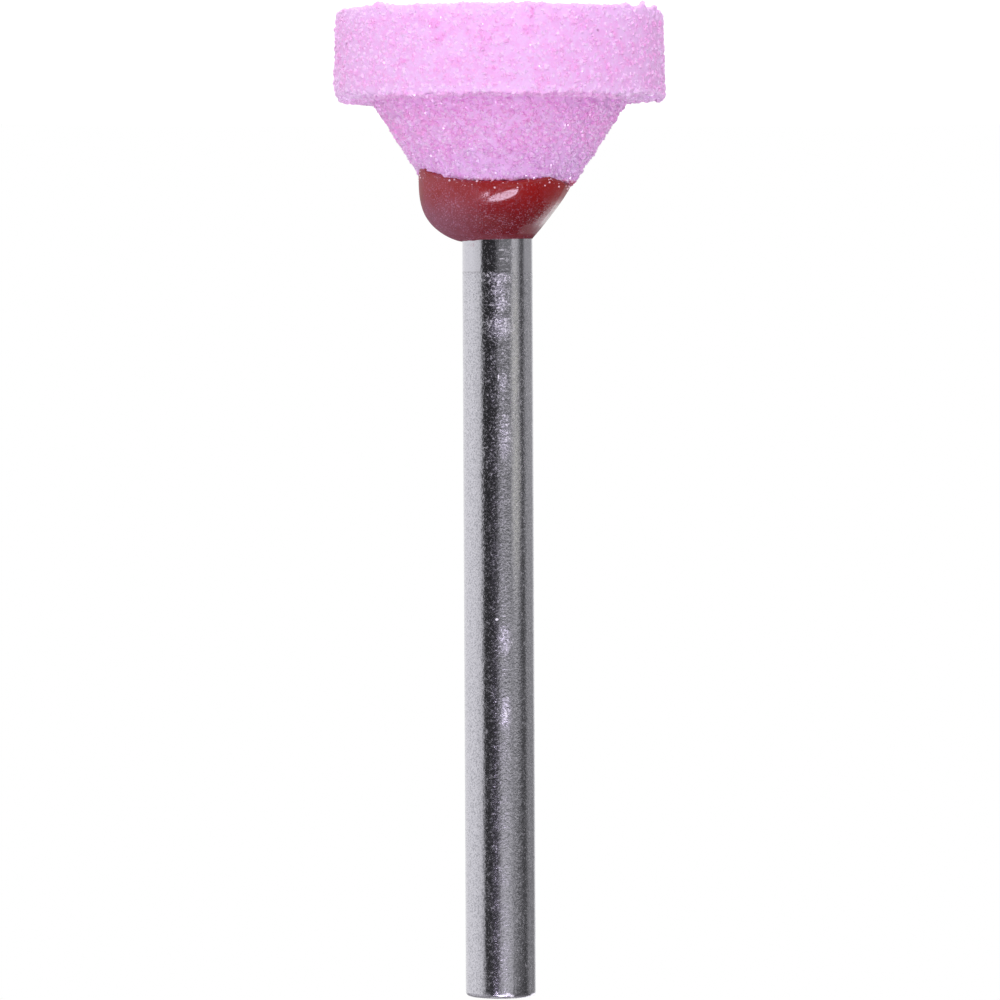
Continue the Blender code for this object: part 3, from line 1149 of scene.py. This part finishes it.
FROST_THINS_AT = 17 * MM
FROST_THIN_AT = 24 * MM
STREAKS_START = 34 * MM
STREAKS_FULL = 41 * MM
WORN_END_SHEEN = 0.30 * MM
SCUFFS = (
    # right and high, and the reach to the side and upwards, all in millimetres
    (0.45, 10.80, 0.50, 0.80),
    (-0.05, 11.95, 1.10, 0.45),
    (-0.05, 12.50, 0.75, 0.50),
    (0.08, 13.05, 0.75, 0.55),
    (0.02, 14.10, 1.00, 0.85),
    (0.22, 16.60, 0.42, 0.60),
    (0.30, 19.20, 0.42, 1.60),
    (0.30, 28.20, 0.50, 1.00),
    (0.32, 31.50, 0.40, 1.20),
)
CHALK_MARKS_AND_END_GLINT = (
    # the same columns, as in the next two tables
    (0.09, 10.70, 0.20, 0.030),
    (0.11, 11.10, 0.20, 0.028),
    (-0.04, 16.40, 0.05, 0.16),
    (-0.12, 27.30, 0.11, 0.09),
    (0.22, 27.15, 0.16, 0.030),
    (0.30, 31.60, 0.06, 0.30),
    # These last two rows are a painted highlight on the rounded free end
    (0.40, 44.22, 0.18, 0.10),
    (0.56, 44.30, 0.18, 0.10),
)
# A painted sheen: a paler, warmer stripe right of the middle, standing for what the steel mirrors there
SHEEN = (
    (0.72, 15.50, 0.32, 6.50),
    (0.78, 21.50, 0.36, 6.50),
)
SMUDGES = (
    (-1.20, 10.47, 0.20, 0.13),
    (-1.05, 10.33, 0.10, 0.09),
)


def steel_finish(settings):
    """Dull ground steel: cleaner next to the cement, and scuffed from a faint line onwards."""
    material, nodes, shader, place = finish_with("ground_steel")
    x, _, z = nodes.split(place)
    end = SHANK_HIGH.z
    along_pin = nodes.noise(place, 0.3 * MM) * (0.16 * MM) + z
    past_line = nodes.between(along_pin, TIDE_LINE_Z - 0.03 * MM, TIDE_LINE_Z + 0.03 * MM)
    line = nodes.between(abs(along_pin - TIDE_LINE_Z), 0.07 * MM, 0.01 * MM)
    line = line * nodes.between(x, -0.5 * MM, -0.2 * MM, 0.25, 1.0)

    patches = nodes.clouds(place, patch=0.8 * MM, contrast=3.6)
    scuffs = nodes.spots(place, settings.radius, SCUFFS)
    scuffed = nodes.math("ADD", patches * 0.30, scuffs * 0.80, clamp=True)
    scuffed = (scuffed * 0.80 + 0.20) * (past_line * 0.60 + 0.40)

    # The grain of the ground surface, drawn out lengthwise towards the free end
    drawn = nodes.vector_math("MULTIPLY", place, (1.0, 1.0, 0.25))["Vector"]
    streaks = nodes.noise(drawn, 0.12 * MM, roughness=0.6)
    towards_end = nodes.between(z, STREAKS_START, STREAKS_FULL, 0.30, 1.0)
    coarse = nodes.noise(place, 0.13 * MM, detail=1.0)
    fine = nodes.noise(place, 0.065 * MM, detail=1.0)
    height = (coarse * 0.75 + fine * 0.35) * (scuffed * 0.72 + 0.30)
    height = height * (1.14 - towards_end * 0.45) + streaks * towards_end * 0.34

    # The frost: a cloudy film, a crust in clumps, a painted sheen, chalky marks with a painted highlight
    # on the free end, and the worn end, pale also as a painted reflection
    cloudy = nodes.between(nodes.noise(place, 0.10 * MM, detail=3.0, roughness=0.7), 0.42, 0.66)
    film = cloudy * scuffed * scuffed
    crust = nodes.between(nodes.noise(place, 0.105 * MM, roughness=0.62), 0.52, 0.63)
    clumped = scuffed * (nodes.clouds(place, patch=0.30 * MM, contrast=3.4) * 1.1 + 0.45)
    thinned = nodes.between(z, FROST_THINS_AT, FROST_THIN_AT, 1.0, 0.70)
    crust = crust * (clumped * 0.42 + 0.09) * thinned
    strip = nodes.between(x, 0.10 * MM, 0.32 * MM, 1.0, 0.92)
    sheen = nodes.spots(place, settings.radius, SHEEN) * (cloudy * 0.24 + 0.13)
    frost = nodes.math("ADD", (film * 0.30 + crust) * strip, sheen, clamp=True)
    frost = nodes.larger(frost, nodes.spots(place, settings.radius, CHALK_MARKS_AND_END_GLINT) * 0.85)
    # The worn free end, made pale also as a painted reflection along its rounded edge
    frost = nodes.larger(frost, nodes.between(z, end - WORN_END_SHEEN, end - 0.10 * MM, 0.0, 0.42))
    gritty = nodes.between(nodes.noise(place, 0.075 * MM, detail=1.0), 0.55, 0.34)
    smudged = nodes.spots(place, settings.radius, SMUDGES) * cloudy
    coloured = nodes.painted(
        tuple(settings.steel),
        (gritty * (past_line * 0.40 + 0.16), STEEL_GRIT),
        (frost, tuple(settings.frost)),
        (sheen * 2.0, STEEL_SHEEN),
        (line * 0.35, STEEL_LINE),
        (smudged * 0.6, RED_SMUDGE),
    )
    nodes.feed(shader["Base Color"], coloured)
    nodes.feed(shader["Metallic"], 1.0 - frost * 0.75)
    nodes.feed(shader["Roughness"], scuffed * 0.17 + frost * 0.40 + 0.10)
    nodes.feed(shader["Normal"], bumped(nodes, height, 0.0135 * MM))
    return material


# The studio

FLOOR_RADIUS = 0.14
FLOOR_Z = -0.36 * MM
FLOOR_CORNERS = 96
FLOOR_GREY = (0.80, 0.80, 0.80)
FLOOR_GLOW = 0.80
WHITE = (1.0, 1.0, 1.0)
WALL_TINGE = (0.97, 0.95, 1.0)
DARKEST_WALL = 0.07
SOFT_LIGHT = 0.20
SOFT_LIGHT_LEAN = (0.12, 0.0, -0.24)
LEVEL_TONES = (
    # what the steel reflects level with it: where each tone starts and ends, in degrees from the
    # camera towards its right, and the tone
    (-180.0, -92.0, 1.0),
    (-65.0, -60.0, 0.82),
    (-50.0, -9.0, 0.03),
    (8.0, 43.0, 0.20),
    (49.0, 60.0, 0.66),
    (68.0, 70.0, 0.48),
    (80.0, 91.0, 0.12),
    (101.0, 146.0, 0.44),
    (158.0, 180.0, 1.0),
)
RAISED_TONES = (
    # the same, a little above that
    (-180.0, -92.0, 1.0),
    (-65.0, -60.0, 0.82),
    (-50.0, -9.0, 0.045),
    (9.0, 38.0, 0.67),
    (47.0, 52.0, 0.25),
    (65.0, 76.0, 0.12),
    (83.0, 96.0, 0.085),
    (108.0, 146.0, 0.30),
    (158.0, 180.0, 1.0),
)
LIGHT_COLOUR = (0.92, 0.86, 1.0)
GLOSS_COLOUR = (0.86, 0.76, 1.0)
LAMPS = (
    # name, degrees right and up from the camera, distance, width, height, watts, roll in degrees,
    # colour, and whether it lights the tool or is only mirrored in it
    ("key_light", 15, 28, 0.94, 0.68, 0.24, 2.38, 20, LIGHT_COLOUR, True),
    ("key_softbox", 9, 30, 0.90, 0.56, 0.30, 4.7, 15, GLOSS_COLOUR, False),
    ("small_softbox", -15, 21, 0.90, 0.08, 0.15, 0.52, 0, GLOSS_COLOUR, False),
    ("front_fill", -8, 2, 0.50, 0.24, 0.24, 0.46, 0, WHITE, True),
    ("side_fill", -75, 44, 0.50, 0.30, 0.30, 0.27, 0, WHITE, True),
    ("end_fill", 0, 78, 0.50, 0.30, 0.30, 0.94, 0, WHITE, True),
)
LAMP_TARGET = Vector((0.0, 0.0, 5 * MM))
CAMERA_ASIDE = -0.025 * MM
SENSOR_WIDTH = 36.0


def tone_ramp(nodes, turn, tones):
    """A grey for each direction round the studio."""
    ramp = nodes.add("ShaderNodeValToRGB", {"Fac": turn * (1 / math.tau) + 0.5})
    stops = ramp.color_ramp.elements
    while len(stops) > 1:
        stops.remove(stops[0])
    edges = [(edge, tone) for start, end, tone in tones for edge in (start, end)]
    for number, (edge, tone) in enumerate(edges):
        place = (edge + 180) / 360
        stop = stops.new(place) if number else stops[0]
        stop.position = place
        stop.color = (tone, tone, tone, 1.0)
    return Value(nodes, ramp.outputs["Color"])


def studio_world():
    """White where the camera looks, soft in diffuse light and banded like a photo studio in gloss."""
    world = bpy.data.worlds.new("studio")
    bpy.context.scene.world = world
    world.use_nodes = True
    world.node_tree.nodes.clear()
    nodes = Nodes(world.node_tree)
    direction = nodes.outputs("ShaderNodeTexCoord")["Generated"]
    x, y, z = nodes.split(direction)
    turn = nodes.math("ARCTAN2", x * -1.0, y * -1.0)
    level = tone_ramp(nodes, turn, LEVEL_TONES)
    raised = tone_ramp(nodes, turn, RAISED_TONES)
    bands = nodes.mix(nodes.between(z, 0.03, 0.075), level, raised)
    # Above the bands the studio is dark, but for white walls behind the tool and on its left
    behind = nodes.between(y, 0.50, 0.80) * nodes.between(x, 0.3, -0.3, 0.3, 2.0)
    left = nodes.between(x, 0.45, 0.75) * 0.60
    walls = nodes.larger(behind, left) * nodes.between(z, 0.85, 0.65)
    walls = nodes.larger(walls, nodes.between(z, 0.88, 0.97, 0.0, 0.26))
    inputs = {"Vector": WALL_TINGE, "Scale": nodes.larger(walls, DARKEST_WALL)}
    upper = nodes.outputs("ShaderNodeVectorMath", inputs, operation="SCALE")["Vector"]
    mirrored = nodes.mix(nodes.between(z, 0.16, 0.30), bands, upper)
    lean = nodes.vector_math("DOT_PRODUCT", direction, SOFT_LIGHT_LEAN)["Value"]
    soft = nodes.larger(lean + SOFT_LIGHT, 0.0)
    rays = nodes.outputs("ShaderNodeLightPath")
    light = nodes.mix(rays["Is Glossy Ray"], soft, mirrored)
    seen = nodes.larger(rays["Is Camera Ray"], rays["Is Transmission Ray"])
    inputs = {"Color": nodes.mix(seen, light, WHITE), "Strength": 1.0}
    background = nodes.outputs("ShaderNodeBackground", inputs)["Background"]
    nodes.add("ShaderNodeOutputWorld", {"Surface": background})


def floor_finish():
    """White paper that still takes the tool's shadow."""
    material = bpy.data.materials.new("white_paper")
    material.use_nodes = True
    material.node_tree.nodes.clear()
    nodes = Nodes(material.node_tree)
    paper = nodes.outputs("ShaderNodeBsdfDiffuse", {"Color": FLOOR_GREY})["BSDF"]
    glow = nodes.outputs("ShaderNodeEmission", {"Strength": FLOOR_GLOW})["Emission"]
    both = nodes.outputs("ShaderNodeAddShader", {0: paper, 1: glow})["Shader"]
    nodes.add("ShaderNodeOutputMaterial", {"Surface": both})
    return material


def add_floor():
    """A round sheet of paper under the stone."""
    turns = [math.tau * i / FLOOR_CORNERS for i in range(FLOOR_CORNERS)]
    rim = [(FLOOR_RADIUS * math.cos(turn), FLOOR_RADIUS * math.sin(turn), FLOOR_Z) for turn in turns]
    floor = new_piece("floor", rim, [tuple(range(FLOOR_CORNERS))], floor_finish(), smooth=False)
    floor.visible_glossy = False
    return floor


def add_lamp(name, azimuth, elevation, distance, width, height, power, roll, tint, lights):
    """A softbox that faces the stone. One that lights the tool isn't mirrored in it."""
    aside = math.radians(azimuth)
    rise = math.radians(elevation)
    way = Vector(
        (-math.sin(aside) * math.cos(rise), -math.cos(aside) * math.cos(rise), math.sin(rise))
    )
    data = bpy.data.lights.new(name, "AREA")
    data.shape = "ELLIPSE"
    data.size = width
    data.size_y = height
    data.energy = power
    data.color = tint
    lamp = bpy.data.objects.new(name, data)
    lamp.location = LAMP_TARGET + way * distance
    facing = (-way).to_track_quat("-Z", "Y").to_matrix() @ Matrix.Rotation(math.radians(roll), 3, "Z")
    lamp.rotation_euler = facing.to_euler()
    lamp.visible_camera = False
    lamp.visible_glossy = not lights
    lamp.visible_diffuse = lights
    bpy.context.collection.objects.link(lamp)


def add_camera(settings):
    """A camera held upside down, with the shank's axis just off the middle of its picture."""
    data = bpy.data.cameras.new("camera")
    data.sensor_width = SENSOR_WIDTH
    data.lens = SENSOR_WIDTH * settings.distance / settings.frame_height
    data.clip_start = 0.01
    data.clip_end = 10.0
    camera = bpy.data.objects.new("camera", data)
    middle = Vector((CAMERA_ASIDE, 0.0, settings.look_at_height))
    place = Vector((CAMERA_ASIDE, -settings.distance, settings.camera_height))
    back = (place - middle).normalized()
    right = Vector((-1.0, 0.0, 0.0))
    stand = Matrix((right, back.cross(right), back)).transposed()
    camera.matrix_world = Matrix.Translation(place) @ stand.to_4x4()
    bpy.context.collection.objects.link(camera)
    bpy.context.scene.camera = camera


class MOUNTED_POINT_OT_studio(Operator):
    """Add the white floor, the lamps, the world and the camera"""

    bl_idname = "mounted_point.studio"
    bl_label = "Studio"

    def execute(self, context):
        context.scene.view_settings.view_transform = "Standard"
        studio_world()
        floor = add_floor()
        for row in LAMPS:
            add_lamp(*row)
        add_camera(context.scene.mounted_studio)
        return {"FINISHED"}


# The sidebar panel


class MOUNTED_POINT_PT_panel(Panel):
    """The pieces of the mounted point and their settings"""

    bl_idname = "MOUNTED_POINT_PT_panel"
    bl_label = "Mounted Point"
    bl_space_type = "VIEW_3D"
    bl_region_type = "UI"
    bl_category = "Mounted Point"

    def draw(self, context):
        for operator, holder in STEPS:
            box = self.layout.box()
            box.operator(operator.bl_idname)
            settings = getattr(context.scene, holder)
            for name in settings.bl_rna.properties.keys():
                if name not in ("rna_type", "name"):
                    box.prop(settings, name)


STEPS = (
    (MOUNTED_POINT_OT_stone, "mounted_stone"),
    (MOUNTED_POINT_OT_grains, "mounted_stone"),
    (MOUNTED_POINT_OT_cement, "mounted_cement"),
    (MOUNTED_POINT_OT_shank, "mounted_shank"),
    (MOUNTED_POINT_OT_studio, "mounted_studio"),
)
HOLDERS = {
    "mounted_stone": StoneSettings,
    "mounted_cement": CementSettings,
    "mounted_shank": ShankSettings,
    "mounted_studio": StudioSettings,
}


def register():
    for name, settings in HOLDERS.items():
        bpy.utils.register_class(settings)
        setattr(bpy.types.Scene, name, PointerProperty(type=settings))
    for operator, _ in STEPS:
        bpy.utils.register_class(operator)
    bpy.utils.register_class(MOUNTED_POINT_PT_panel)


def unregister():
    bpy.utils.unregister_class(MOUNTED_POINT_PT_panel)
    for operator, _ in reversed(STEPS):
        bpy.utils.unregister_class(operator)
    for name, settings in reversed(HOLDERS.items()):
        delattr(bpy.types.Scene, name)
        bpy.utils.unregister_class(settings)


def main():
    register()
    bpy.ops.mounted_point.stone()
    bpy.ops.mounted_point.grains()
    bpy.ops.mounted_point.cement()
    bpy.ops.mounted_point.shank()
    bpy.ops.mounted_point.studio()


if __name__ == "__main__":
    main()
